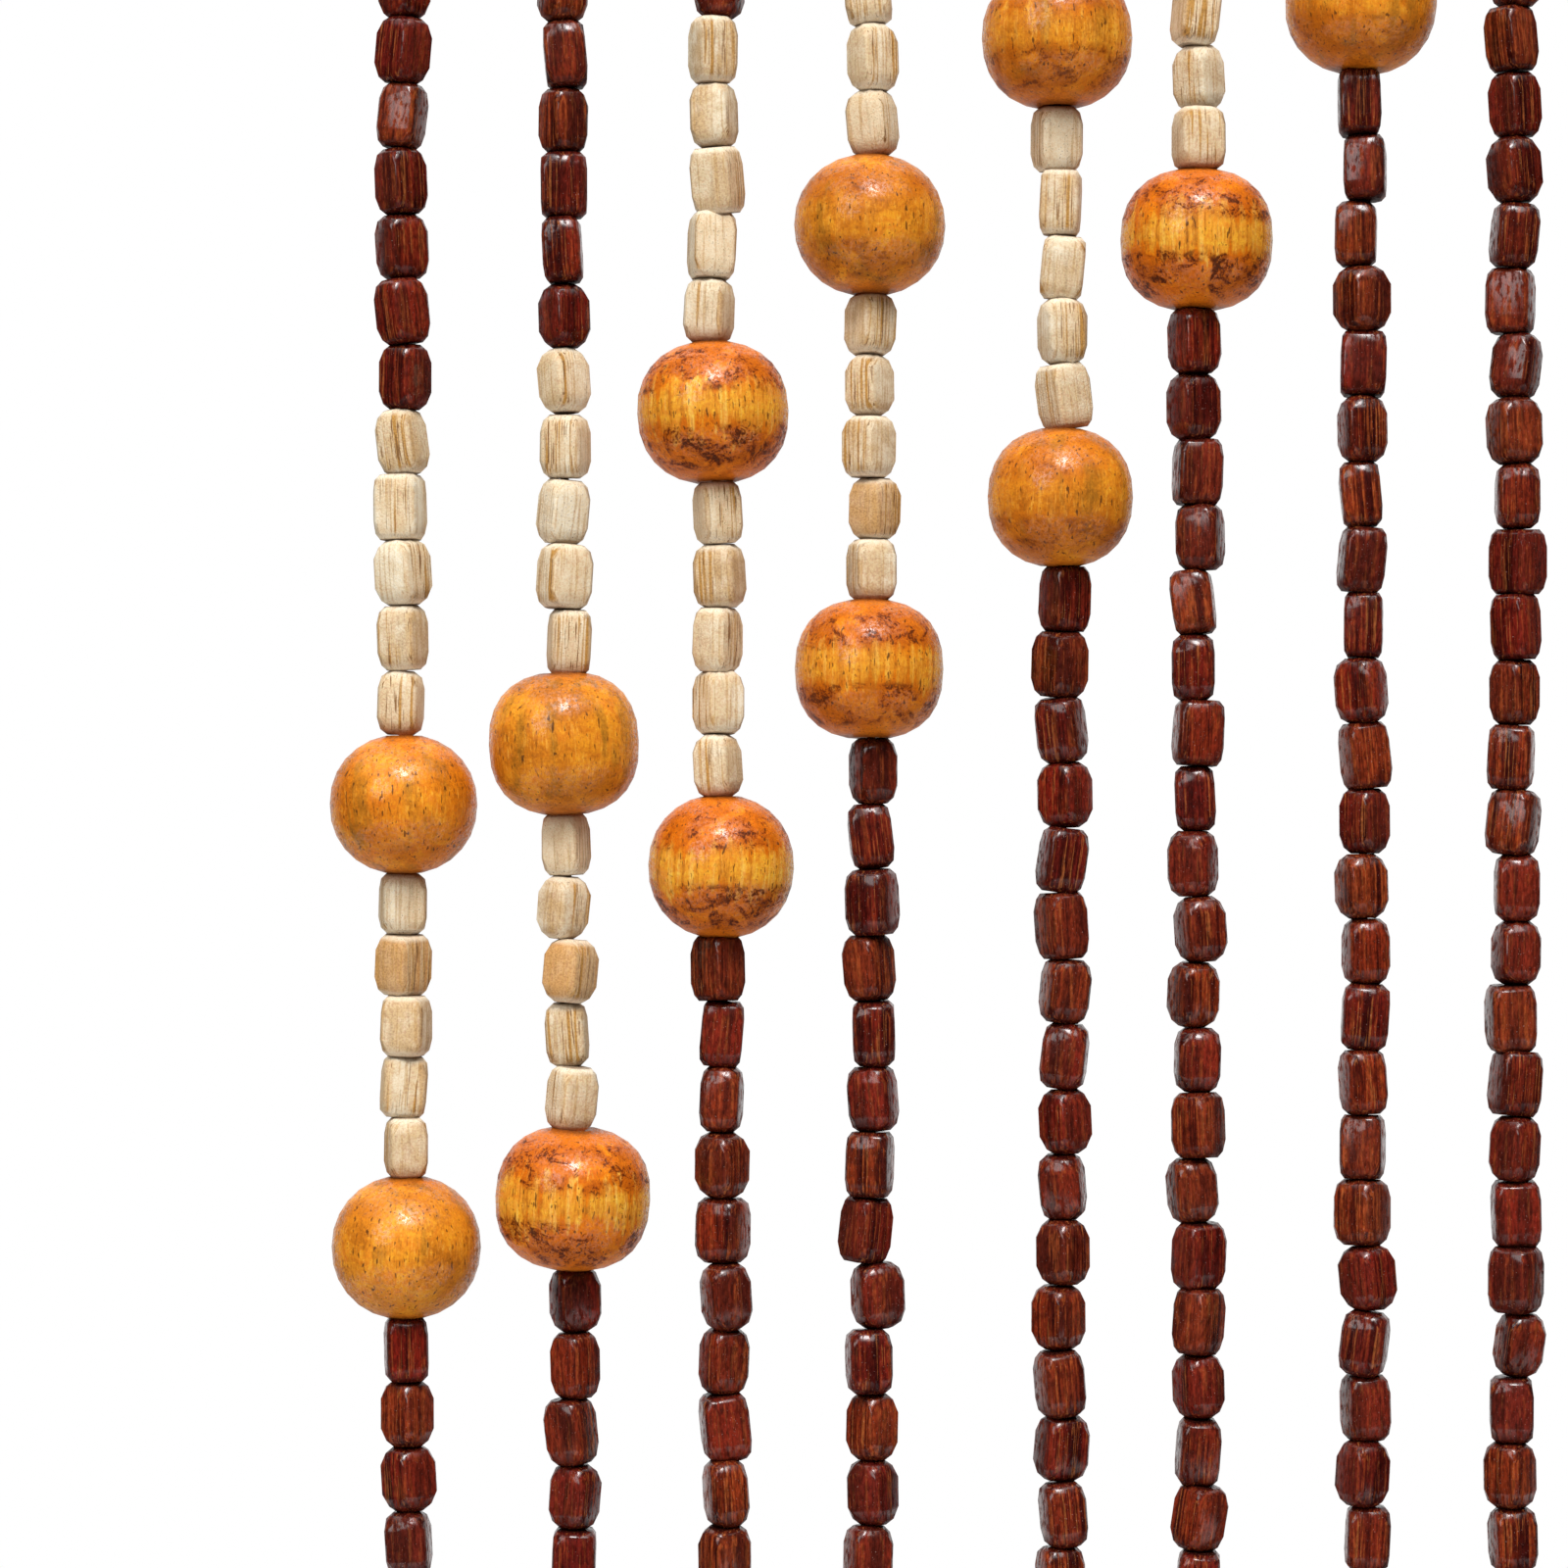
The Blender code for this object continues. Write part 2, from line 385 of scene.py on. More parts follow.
def large_wood(colours):
    """Amber stain under gloss lacquer, with fibres round the equator and redder, scorched ends."""
    finish = Finish("large_bead_wood", specular=0.10, coat_roughness=0.19)
    place = finish.named("grain")
    tone, burnt, height = finish.parts(finish.named("look"))
    lines = finish.streaks(place, (1, 1, 0.07), 0.95, 4, 0.62)
    hairs = finish.streaks(place, (1, 1, 0.12), 3.8, 2, 0.55)
    drift = finish.noise(place, 0.13, 3, 0.55)
    patches = finish.noise(place, 0.17, 3, 0.55, 0.6)
    marbling = finish.streaks(place, (1, 1, 1.5), 0.40, 5, 0.74, 0.8)
    dashes = finish.streaks(place, (1, 1, 0.26), 2.5, 1, 0.5)
    peel = finish.noise(place, 2.2, 3, 0.65)
    grit = finish.streaks(place, (1, 1, 0.6), 3.2, 3, 0.7)

    away = abs(height) + (drift - 0.5) * 0.9 + (lines - 0.5) * 1.3
    belly = 1 - away.between(0.18, 0.42)
    strong = burnt.between(0.30, 0.95)
    soaked = strong * (1 - belly)
    colour = finish.mix(tone, colours.amber, (0.62, 0.220, 0.012))
    colour = finish.mix(drift.between(0.44, 0.64) * 0.48, colour, (0.42, 0.105, 0.004))
    colour = finish.mix((1 - drift.between(0.36, 0.54)) * 0.60, colour, (0.86, 0.310, 0.020))
    colour = finish.mix(soaked * 0.80, colour, colours.orange)
    colour = finish.mix(belly * strong * 0.80, colour, colours.honey)
    brown_lines = lines.between(0.50, 0.64) * (0.16 + 0.50 * belly * strong)
    colour = finish.mix(brown_lines, colour, (0.36, 0.090, 0.005))
    colour = finish.mix((1 - lines.between(0.36, 0.46)) * belly * strong * 0.70, colour, (0.86, 0.48, 0.090))
    colour = finish.mix(hairs.between(0.56, 0.68) * 0.36, colour, (0.30, 0.085, 0.007))
    colour = finish.mix((1 - hairs.between(0.34, 0.44)) * belly * 0.40, colour, (0.88, 0.42, 0.060))
    olive = finish.streaks(place, (1, 1, 0.20), 0.32, 3, 0.6).between(0.50, 0.68)
    colour = finish.mix(olive * (1 - strong) * 0.48, colour, (0.22, 0.110, 0.011))
    shoulder = abs(height).between(0.12, 0.38) * (1 - abs(height).between(0.74, 0.96))
    mottled = (patches.between(0.36, 0.50) * (0.22 + 0.78 * shoulder) * burnt).between(0.14, 0.78)
    grainy = marbling + (grit - 0.5) * 0.50 - 0.035 * height.between(0.10, 0.40)
    scorched = grainy.between(0.475, 0.575) * mottled
    colour = finish.mix(marbling.between(0.36, 0.54) * mottled * 0.62, colour, (0.40, 0.066, 0.002))
    colour = finish.mix(scorched * 0.82, colour, colours.scorch)
    colour = finish.mix(grainy.between(0.56, 0.62) * mottled * 0.80, colour, (0.038, 0.008, 0.001))
    flecks = peel.between(0.60, 0.66) * marbling.between(0.48, 0.58)
    colour = finish.mix(flecks * (0.45 + 0.40 * burnt), colour, (0.10, 0.028, 0.005))
    colour = finish.mix(dashes.between(0.66, 0.70) * 0.82, colour, (0.070, 0.022, 0.005))
    crown = abs(height).between(0.84, 0.97)
    colour = finish.mix(crown * 0.50, colour, (0.48, 0.105, 0.005))
    # Dark brown painted shade at each pole, where the neighbouring bead sits
    colour = finish.mix(abs(height).between(0.93, 1.0) * 0.70, colour, (0.090, 0.022, 0.004))
    colour = finish.gritty(colour, grit, 0.16)
    colour = finish.gritty(colour, marbling, 0.22)

    relief = finish.bump(lines, 0.04 * MM)
    relief = finish.bump(peel, 0.06 * MM, relief)
    finish.set({"Base Color": colour, "Roughness": 0.40 + 0.2 * patches, "Normal": relief})
    underside = (0 - height).between(0.35, 0.85)
    gloss = (0.08 + 0.92 * peel.between(0.43, 0.60)) * (1 - 0.85 * scorched)
    finish.set({"Coat Weight": gloss * (1 - 0.7 * underside)})
    return finish.material


def thread_finish(name, colour, pale, twist):
    """Spun thread, with its twist as fine ribs across the cord."""
    finish = Finish(name, roughness=0.8, specular=0.25)
    ribs = finish.waves(finish.here(), "DIAGONAL", twist, 1.5)
    fluff = finish.noise(finish.here(), 900, 2, 0.6)
    shade = finish.mix(ribs * 0.6 + fluff * 0.3, colour, pale)
    finish.set({"Base Color": shade, "Normal": finish.bump(ribs, 0.08 * MM)})
    return finish.material


def tape_cloth(colours):
    """Twill tape: diagonal ribs of yarn, a little lighter along the top of the fold."""
    finish = Finish("heading_tape_cloth", roughness=0.88, specular=0.2)
    x, _, z = finish.parts(finish.stretched(finish.here(), (1 / MM, 1 / MM, 1 / MM)))
    slant = finish.node("ShaderNodeCombineXYZ", None, {"X": x + z}).outputs[0]
    across = finish.node("ShaderNodeCombineXYZ", None, {"X": x}).outputs[0]
    ribs = finish.waves(slant, "X", 0.42, 0.6)
    yarns = finish.waves(across, "X", 0.55, 0.8)
    wear = finish.noise(finish.here(), 60, 3, 0.6)
    slub = finish.noise(finish.here(), 700, 2, 0.6)
    colour = finish.mix(ribs * 0.55 + yarns * 0.25, (0.030, 0.0095, 0.0055), colours.tape)
    colour = finish.mix(wear.between(0.45, 0.75) * 0.35, colour, (0.110, 0.042, 0.024))
    # Lighter towards the top of the fold
    fold = z.between(-2.2, -0.4)
    colour = finish.mix(fold * 0.30, colour, (0.140, 0.060, 0.036))
    colour = finish.mix(slub.between(0.60, 0.72) * 0.30, colour, (0.150, 0.070, 0.045))
    relief = finish.bump(ribs, 0.16 * MM)
    relief = finish.bump(yarns, 0.07 * MM, relief)
    finish.set({"Base Color": colour, "Normal": relief})
    return finish.material


def floor_finish():
    finish = Finish("pale_floor", roughness=0.7)
    cloud = finish.noise(finish.here(), 2.2, 2, 0.5)
    colour = finish.mix(cloud, (0.50, 0.50, 0.50), (0.54, 0.54, 0.54))
    finish.set({"Base Color": colour})
    return finish.material


# Modelling by hand


def alone(piece):
    """Leaves only this piece selected, and makes it the active one."""
    bpy.ops.object.select_all(action="DESELECT")
    piece.select_set(True)
    bpy.context.view_layer.objects.active = piece


def pick(piece, kind, test):
    """In edit mode, selects the vertices, edges or faces that pass a test, and nothing else."""
    bpy.ops.mesh.select_mode(type=kind.upper())
    bpy.ops.mesh.select_all(action="DESELECT")
    bm = bmesh.from_edit_mesh(piece.data)
    elements = {"vert": bm.verts, "edge": bm.edges, "face": bm.faces}[kind]
    for element in elements:
        if test(element):
            element.select_set(True)
    bm.select_flush_mode()
    bmesh.update_edit_mesh(piece.data)


def at_height(height, reach=0.02 * MM):
    return lambda vert: abs(vert.co.z - height) < reach


def new_piece(name, finish):
    piece = bpy.context.object
    piece.name = name
    piece.data.name = name
    if finish is not None:
        piece.data.materials.append(finish)
    return piece


# The rings of a small bead, from its middle to its end. Height is a share of the half length, and inset is
# how much of its half width a ring loses. Cut is how much of its own width each side loses at the corners.
SMALL_RINGS = [
    {"height": 0.45, "inset": 0.004, "cut": 0.07},
    {"height": 0.82, "inset": 0.065, "cut": 0.35},
    {"height": 1.00, "inset": 0.320, "cut": 0.42},
]
# The width of a corner's first cut, as a share of the bead's width, and how worn each carved shape is
SMALL_CORNER = 0.08
SMALL_WEAR = (0.65, 0.80, 0.92, 1.04, 1.16, 1.30)
UNEVEN_CARVING = 0.09 * MM

LARGE_SEGMENTS = 22
LARGE_RINGS = 14
# How full each turned shape is: 2 is a ball, and more is squarer
LARGE_FULLNESS = (2.12, 2.25, 2.42)
LARGE_DIMPLE = 0.9 * MM


def carve_small_bead(name, sizes, wear, turn):
    """A block with its long edges cut back, which closes in ring by ring towards its ends."""
    bpy.ops.mesh.primitive_cube_add(size=1)
    bead = new_piece(name, None)
    bead.scale = (sizes.small_width, sizes.small_width, sizes.small_length)
    bpy.ops.object.transform_apply(location=False, rotation=False, scale=True)
    bpy.ops.object.mode_set(mode="EDIT")
    pick(bead, "edge", lambda edge: abs(edge.verts[0].co.z - edge.verts[1].co.z) > MM)
    bpy.ops.mesh.bevel(offset=SMALL_CORNER * sizes.small_width, segments=1, affect="EDGES")
    half = sizes.small_length / 2
    for ring in SMALL_RINGS[:-1]:
        for side in (-1, 1):
            bpy.ops.mesh.select_all(action="SELECT")
            bpy.ops.mesh.bisect(plane_co=(0, 0, side * ring["height"] * half), plane_no=(0, 0, 1))
    for ring in SMALL_RINGS:
        for side in (-1, 1):
            height = side * ring["height"] * half
            on_ring = at_height(height)
            centre = (0, 0, height)
            flat, across = 1 - ring["cut"] * wear, 1 - ring["inset"] * wear
            pick(bead, "vert", lambda v, on=on_ring: on(v) and abs(v.co.x) > abs(v.co.y))
            bpy.ops.transform.resize(value=(1, flat, 1), center_override=centre)
            pick(bead, "vert", lambda v, on=on_ring: on(v) and abs(v.co.y) > abs(v.co.x))
            bpy.ops.transform.resize(value=(flat, 1, 1), center_override=centre)
            pick(bead, "vert", on_ring)
            bpy.ops.transform.resize(value=(across, across, 1), center_override=centre)
    bpy.ops.mesh.select_all(action="SELECT")
    bpy.ops.transform.vertex_random(offset=UNEVEN_CARVING, seed=turn)
    bpy.ops.mesh.normals_make_consistent(inside=False)
    bpy.ops.object.mode_set(mode="OBJECT")
    return bead


def turn_large_bead(name, sizes, fullness, turn):
    """A ball turned a little squarer than a sphere, with a dimple at each pole where its neighbour sits."""
    radius, half = sizes.large_width / 2, sizes.large_length / 2
    bpy.ops.mesh.primitive_uv_sphere_add(segments=LARGE_SEGMENTS, ring_count=LARGE_RINGS, radius=radius)
    bead = new_piece(name, None)
    bpy.ops.object.mode_set(mode="EDIT")
    share = 2 / fullness
    for ring in range(1, LARGE_RINGS):
        angle = math.pi * ring / LARGE_RINGS
        was = radius * math.cos(angle)
        pick(bead, "vert", at_height(was))
        grown = math.sin(angle) ** share / math.sin(angle)
        height = math.copysign(abs(math.cos(angle)) ** share, math.cos(angle)) * half
        if ring * 2 == LARGE_RINGS:
            height = 0.0
        bpy.ops.transform.resize(value=(grown, grown, 1), center_override=(0, 0, was))
        bpy.ops.transform.translate(value=(0, 0, height - was))
    for side in (-1, 1):
        pick(bead, "vert", at_height(side * radius))
        bpy.ops.transform.translate(value=(0, 0, side * (half - LARGE_DIMPLE - radius)))
    bpy.ops.mesh.select_all(action="SELECT")
    bpy.ops.transform.vertex_random(offset=UNEVEN_CARVING / 3, seed=turn)
    bpy.ops.mesh.normals_make_consistent(inside=False)
    bpy.ops.object.mode_set(mode="OBJECT")
    return bead


# Reading the strands


def read_strands(sizes):
    """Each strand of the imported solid, left to right.

    It gives the route as (height, x) rows, the large beads' heights, and where the beads start and end.
    """
    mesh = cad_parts["bead_strands"].data
    points = np.array([vert.co for vert in mesh.vertices]).round(6)
    front = np.unique(points[points[:, 1] < 0], axis=0)
    first_ring = front[front[:, 2] < STRANDS_HIGH.z - 7 * MM]
    order = np.lexsort((first_ring[:, 0], first_ring[:, 2]))
    left, right = first_ring[order][0::2], first_ring[order][1::2]
    middle, half = (left + right) / 2, (right - left)[:, 0] / 2
    top = middle[:, 2].max()
    seats = np.sort(middle[middle[:, 2] > top - MM][:, 0])
    owner = np.abs(middle[:, :1] - seats).argmin(axis=1)
    strands = []
    for number in range(len(seats)):
        mine = owner == number
        route = middle[mine][:, [2, 0]]
        route = route[route[:, 0].argsort()]
        wide = np.sort(middle[mine & (half > sizes.small_width)][:, 2])[::-1]
        large = (wide[0::2] + wide[1::2]) / 2
        strands.append({"route": route, "large": large, "top": route[-1, 0], "end": route[1, 0]})
    return strands


def along(strand, heights):
    """The strand's x at these heights."""
    return np.interp(heights, strand["route"][:, 0], strand["route"][:, 1])


def small_run(kinds, top, bottom):
    """Beads of these kinds spread evenly over a length of cord, as (kind, height, pitch, neighbour) rows."""
    if not kinds:
        return []
    pitch = (top - bottom) / len(kinds)
    return [[kind, top - (place + 0.5) * pitch, pitch, 0] for place, kind in enumerate(kinds)]


def beads_of(strand, sizes):
    """Every bead of a strand, top to bottom. A row's last number says at which end a large bead sits."""
    found, edge = [], strand["top"]
    group = sizes.light_group
    for centre in strand["large"]:
        upper = centre + sizes.large_pitch / 2
        light = group * sizes.dark_pitch
        dark = max(round((edge - upper - light) / sizes.dark_pitch), 0)
        run = small_run(["dark"] * dark + ["light"] * group, edge, upper)
        if dark == 0:
            run[0][3] = 1
        run[-1][3] = -1
        found += run
        found.append(["large", centre, sizes.large_pitch, 0])
        edge = centre - sizes.large_pitch / 2
    rest = round((edge - strand["end"]) / sizes.dark_pitch)
    return found + small_run(["dark"] * rest, edge, strand["end"])


# Stringing the beads


# How each kind is shared out over pieces
BEAD_PIECES = {
    "dark": {"names": "dark_beads_{:02d}", "slot": "dark_bead", "strands": 3},
    "light": {"names": "light_beads_{}", "slot": "light_bead", "strands": 14},
    "large": {"names": "large_beads_{}", "slot": "large_bead", "strands": 14},
}

# A bead's share of the usual shift and tilt, and how much its three sizes vary
SMALL_PLAY = {"shift": 1.0, "tilt": 1.0, "sizes": (0.050, 0.050, 0.010)}
LARGE_PLAY = {"shift": 0.5, "tilt": 0.6, "sizes": (0.020, 0.020, 0.008)}

# The most that a bead shifts or tilts, in usual shifts or tilts, and the gap between two small beads
FURTHEST = 2.4
SMALL_GAP = 0.03 * MM


def turning(axis, angles):
    """A turn about X, Y or Z for each angle, as an array of 3 by 3 matrices."""
    made = np.tile(np.eye(3), (len(angles), 1, 1))
    first, second = [other for other in range(3) if other != axis]
    sign = -1 if axis == 1 else 1
    made[:, first, first] = made[:, second, second] = np.cos(angles)
    made[:, first, second] = -sign * np.sin(angles)
    made[:, second, first] = sign * np.sin(angles)
    return made


def corner_map(shape):
    """Where each face corner lies on a unit card, with the sides unrolled and the two ends above them."""
    points = np.array([vert.co for vert in shape.data.vertices])
    top = points[:, 2].max()
    span = np.abs(points[:, :2]).max()
    card = []
    for face in shape.data.polygons:
        corners = points[list(face.vertices)]
        if abs(face.normal.z) > 0.9 and np.ptp(corners[:, 2]) < top / 4:
            across = 0.25 + 0.10 * corners[:, :2] / span
            card += [(u + (0.5 if face.normal.z > 0 else 0.0), v * 0.9 + 0.65) for u, v in across]
            continue
        middle = corners.mean(axis=0)
        aim = math.atan2(middle[1], middle[0])
        around = np.arctan2(corners[:, 1], corners[:, 0]) - aim
        around = (around + math.pi) % math.tau - math.pi
        at_pole = np.hypot(corners[:, 0], corners[:, 1]) < 0.05 * span
        around[at_pole] = 0.0
        u = (aim + around) / math.tau + 0.5
        v = 0.04 + 0.74 * (corners[:, 2] / top + 1) / 2
        card += list(zip(0.04 + 0.92 * u, v))
    return np.array(card)


def tube(name, paths, radius, resolution, finish, closed=False):
    """Round thread along each path, as one mesh."""
    curve = bpy.data.curves.new(name, "CURVE")
    curve.dimensions = "3D"
    curve.bevel_depth = radius
    curve.bevel_resolution = resolution
    curve.use_fill_caps = not closed
    for path in paths:
        spline = curve.splines.new("POLY")
        spline.use_cyclic_u = closed
        spline.points.add(len(path) - 1)
        spline.points.foreach_set("co", np.insert(path, 3, 1, axis=1).astype(np.float32).ravel())
    thread = bpy.data.objects.new(name, curve)
    bpy.context.scene.collection.objects.link(thread)
    alone(thread)
    bpy.ops.object.convert(target="MESH")
    thread = new_piece(name, finish)
    bpy.ops.object.shade_smooth()
    return thread


def joined_copies(name, shape, placed, finish):
    """One mesh with a copy of a shape's faces on each row of placed points."""
    count, vertices = placed.shape[:2]
    pattern = [tuple(face.vertices) for face in shape.data.polygons]
    starts = range(0, count * vertices, vertices)
    faces = [tuple(start + corner for corner in face) for start in starts for face in pattern]
    mesh = bpy.data.meshes.new(name)
    mesh.from_pydata(placed.reshape(-1, 3).tolist(), [], faces)
    mesh.materials.append(finish)
    piece = bpy.data.objects.new(name, mesh)
    bpy.context.scene.collection.objects.link(piece)
    alone(piece)
    bpy.ops.object.shade_smooth()
    return piece


def scatter(name, shape, places, turns, finish):
    """Copies of a shape at these places, each with its own turn."""
    points = np.array([vert.co for vert in shape.data.vertices])
    placed = np.einsum("nij,vj->nvi", turns, points) + np.array(places)[:, None]
    return joined_copies(name, shape, placed, finish)


def string_together(name, shapes, beads, finish):
    """One mesh of many beads, each a copy of a carved shape with its own size, turn, shade and grain."""
    count = len(beads["centre"])
    carved = np.array([[vert.co for vert in shape.data.vertices] for shape in shapes])
    local = carved[beads["shape"]] * beads["stretch"][:, None]
    turned = np.einsum("nij,nvj->nvi", beads["turn"], local)
    placed = turned + beads["centre"][:, None]
    piece = joined_copies(name, shapes[0], placed, finish)
    mesh = piece.data

    grain = mesh.attributes.new("grain", "FLOAT_VECTOR", "POINT")
    grain.data.foreach_set("vector", (local / MM + beads["offset"][:, None]).astype(np.float32).ravel())
    height = local[:, :, 2] / local[:, :, 2].max(axis=1)[:, None]
    shades = np.repeat(beads["look"][:, None], carved.shape[1], axis=1)
    look = mesh.attributes.new("look", "FLOAT_VECTOR", "POINT")
    look.data.foreach_set("vector", np.dstack([shades, height]).astype(np.float32).ravel())

    columns = math.ceil(math.sqrt(count / 2))
    rows = math.ceil(count / columns)
    card = corner_map(shapes[0])
    cell = np.stack([np.arange(count) % columns, np.arange(count) // columns], axis=1)
    atlas = (cell[:, None] + card[None]) / (columns, rows)
    mesh.uv_layers.new(name=ATLAS).data.foreach_set("uv", atlas.astype(np.float32).ravel())

    facets = piece.modifiers.new("facets", "WEIGHTED_NORMAL")
    facets.weight = 60
    bpy.ops.object.modifier_apply(modifier=facets.name)
    return piece


def bead_table(kind, strands, numbers, sizes, rng):
    """Arrays that place every bead of a kind on the numbered strands."""
    rows = []
    for number in numbers:
        for bead_kind, height, pitch, neighbour in beads_of(strands[number], sizes):
            if bead_kind == kind:
                rows.append((along(strands[number], height), height, pitch, neighbour))
    x, z, pitch, neighbour = np.array(rows).T
    count = len(rows)
    large = kind == "large"
    play = LARGE_PLAY if large else SMALL_PLAY
    shift, tilt = sizes.shift * play["shift"], sizes.tilt * play["tilt"]
    shifts = np.clip(rng.normal(0, shift, (count, 2)), -FURTHEST * shift, FURTHEST * shift)
    leans = np.clip(rng.normal(0, tilt, (count, 2)), -FURTHEST * tilt, FURTHEST * tilt)
    spin = turning(2, rng.uniform(0, math.tau, count))
    stretch = 1 + np.clip(rng.normal(0, 1, (count, 3)), -2, 2) * play["sizes"]
    if large:
        stretch[:, 1] = stretch[:, 0]
    else:
        stretch[:, 2] *= (pitch - SMALL_GAP) / sizes.small_length
    return {
        "centre": np.stack([x + shifts[:, 0], shifts[:, 1], z], axis=1),
        "turn": turning(1, leans[:, 0]) @ turning(0, leans[:, 1]) @ spin,
        "stretch": stretch,
        "shape": rng.integers(0, len(LARGE_FULLNESS if large else SMALL_WEAR), count),
        "offset": rng.integers(-40, 40, (count, 3)) * 2 * GRAIN_STEP,
        "look": np.stack([rng.uniform(0, 1, count), neighbour], axis=1),
    }


def seat(piece, slot, *nodes):
    """Fixes a finished piece to the curtain, and hides the solids that it stands for."""
    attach(piece, "root")
    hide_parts(*nodes)


def clear_away(shapes):
    for shape in shapes:
        bpy.data.objects.remove(shape)


def carve_shapes(kind, sizes, first):
    """One small bead for each amount of wear."""
    turns = enumerate(SMALL_WEAR, first)
    return [carve_small_bead(f"{kind}_{turn}", sizes, wear, turn) for turn, wear in turns]


def string_kind(kind, shapes, finish, sizes, rng, restain=None):
    """Strings every bead of a kind, some strands to a piece. Restain redraws a piece's looks."""
    pieces = BEAD_PIECES[kind]
    strands = read_strands(sizes)
    for first in range(0, len(strands), pieces["strands"]):
        numbers = range(first, min(first + pieces["strands"], len(strands)))
        beads = bead_table(kind, strands, numbers, sizes, rng)
        if restain is not None:
            restain(beads["look"])
        name = pieces["names"].format(first // pieces["strands"] + 1)
        piece = string_together(name, shapes, beads, finish)
        seat(piece, pieces["slot"], "bead_strands")
    clear_away(shapes)


# Cords, braid and heading


# A cord starts over the braid's foot and ends just under its end knot. Each knot is one closed loop of
# thicker thread, and sits this far over the first bead or under the last one
CORD_POINTS = 40
CORD_RISE = 4 * MM
CORD_CLEAR = 0.3 * MM
KNOT_POINTS = 18
KNOT_THREAD = 0.42 * MM
KNOT_LOOP = 0.40 * MM
KNOT_DEPTH = 0.55 * MM
UPPER_KNOT = 1.2 * MM
END_KNOT = 1.3 * MM

# The braid's three yarns cross in depth. Its flat edge goes up into the tape
BRAID_YARN = 0.95 * MM
BRAID_DEPTH = 0.42 * MM
BRAID_LIFT = 2.5 * MM
BRAID_POINTS = 10
BRAID_EDGE = {"middle": 3 * MM, "thick": 0.6 * MM, "height": 8 * MM}

# A stitch's pitch is in stitch lengths, and the rows lie at shares of the tape's height from its edges
FOLD_POINTS = 7
CLOTH_CUTS = {"across": 60, "down": 3}
UNEVEN_CLOTH = 0.07 * MM
STITCH_RADIUS = 0.28 * MM
STITCH_PITCH = 1.3
STITCH_ROWS = {"top": 0.17, "foot": 0.15}


# Operators


class CURTAIN_OT_dark_beads(bpy.types.Operator):
    """String the dark small beads, three strands to a piece"""

    bl_idname = "curtain.dark_beads"
    bl_label = "Dark beads"

    def execute(self, context):
        sizes = context.scene.curtain_sizes
        rng = np.random.default_rng(SEED)

        def warm(look):
            look[:, 1] = rng.uniform(0, 1, len(look)) ** 2

        finish = dark_wood(context.scene.curtain_colours)
        string_kind("dark", carve_shapes("dark", sizes, 0), finish, sizes, rng, warm)
        return {"FINISHED"}


class CURTAIN_OT_light_beads(bpy.types.Operator):
    """String the light small beads, fourteen strands to a piece"""

    bl_idname = "curtain.light_beads"
    bl_label = "Light beads"

    def execute(self, context):
        sizes = context.scene.curtain_sizes
        rng = np.random.default_rng(SEED + 1)
        finish = light_wood(context.scene.curtain_colours)
        string_kind("light", carve_shapes("light", sizes, 50), finish, sizes, rng)
        return {"FINISHED"}


class CURTAIN_OT_large_beads(bpy.types.Operator):
    """String the large round beads, fourteen strands to a piece"""

    bl_idname = "curtain.large_beads"
    bl_label = "Large beads"

    def execute(self, context):
        sizes = context.scene.curtain_sizes
        rng = np.random.default_rng(SEED + 2)
        shades = np.random.default_rng(LARGE_SHADES)

        def shade(look):
            look[:] = shades.uniform(0, 1, look.shape)

        turns = enumerate(LARGE_FULLNESS)
        shapes = [turn_large_bead(f"large_{turn}", sizes, fullness, turn) for turn, fullness in turns]
        finish = large_wood(context.scene.curtain_colours)
        string_kind("large", shapes, finish, sizes, rng, shade)
        return {"FINISHED"}


class CURTAIN_OT_cords(bpy.types.Operator):
    """Run a cord through every strand, and knot it under the braid and under the last bead"""

    bl_idname = "curtain.cords"
    bl_label = "Cords and knots"

    def execute(self, context):
        sizes = context.scene.curtain_sizes
        strands = read_strands(sizes)
        finish = thread_finish("cord_thread", context.scene.curtain_colours.cord, (0.05, 0.028, 0.018), 500)
        routes, knots = [], []
        for strand in strands:
            heights = np.linspace(strand["top"] + CORD_RISE, STRANDS_LOW.z + CORD_CLEAR, CORD_POINTS)
            x = along(strand, heights)
            routes.append(np.stack([x, np.zeros(CORD_POINTS), heights], axis=1))
            knots += [(x[0], 0, strand["top"] + UPPER_KNOT), (x[-1], 0, strand["end"] - END_KNOT)]
        cords = tube("strand_cords", routes, sizes.cord / 2, 0, finish)
        seat(cords, "cord", "bead_strands")

        turn = np.linspace(0, math.tau, KNOT_POINTS, endpoint=False)
        loops = [np.sin(turn) + 2 * np.sin(2 * turn), np.cos(turn) - 2 * np.cos(2 * turn)]
        path = np.stack([loops[0] * KNOT_LOOP, loops[1] * KNOT_LOOP, np.sin(3 * turn) * KNOT_DEPTH], axis=1)
        knot = tube("knot", [path], KNOT_THREAD, 1, finish, closed=True)
        rng = np.random.default_rng(SEED + 3)
        spin = turning(2, rng.uniform(0, math.tau, len(knots)))
        tied = scatter("strand_knots", knot, knots, spin, finish)
        seat(tied, "cord", "bead_strands")
        clear_away([knot])
        return {"FINISHED"}


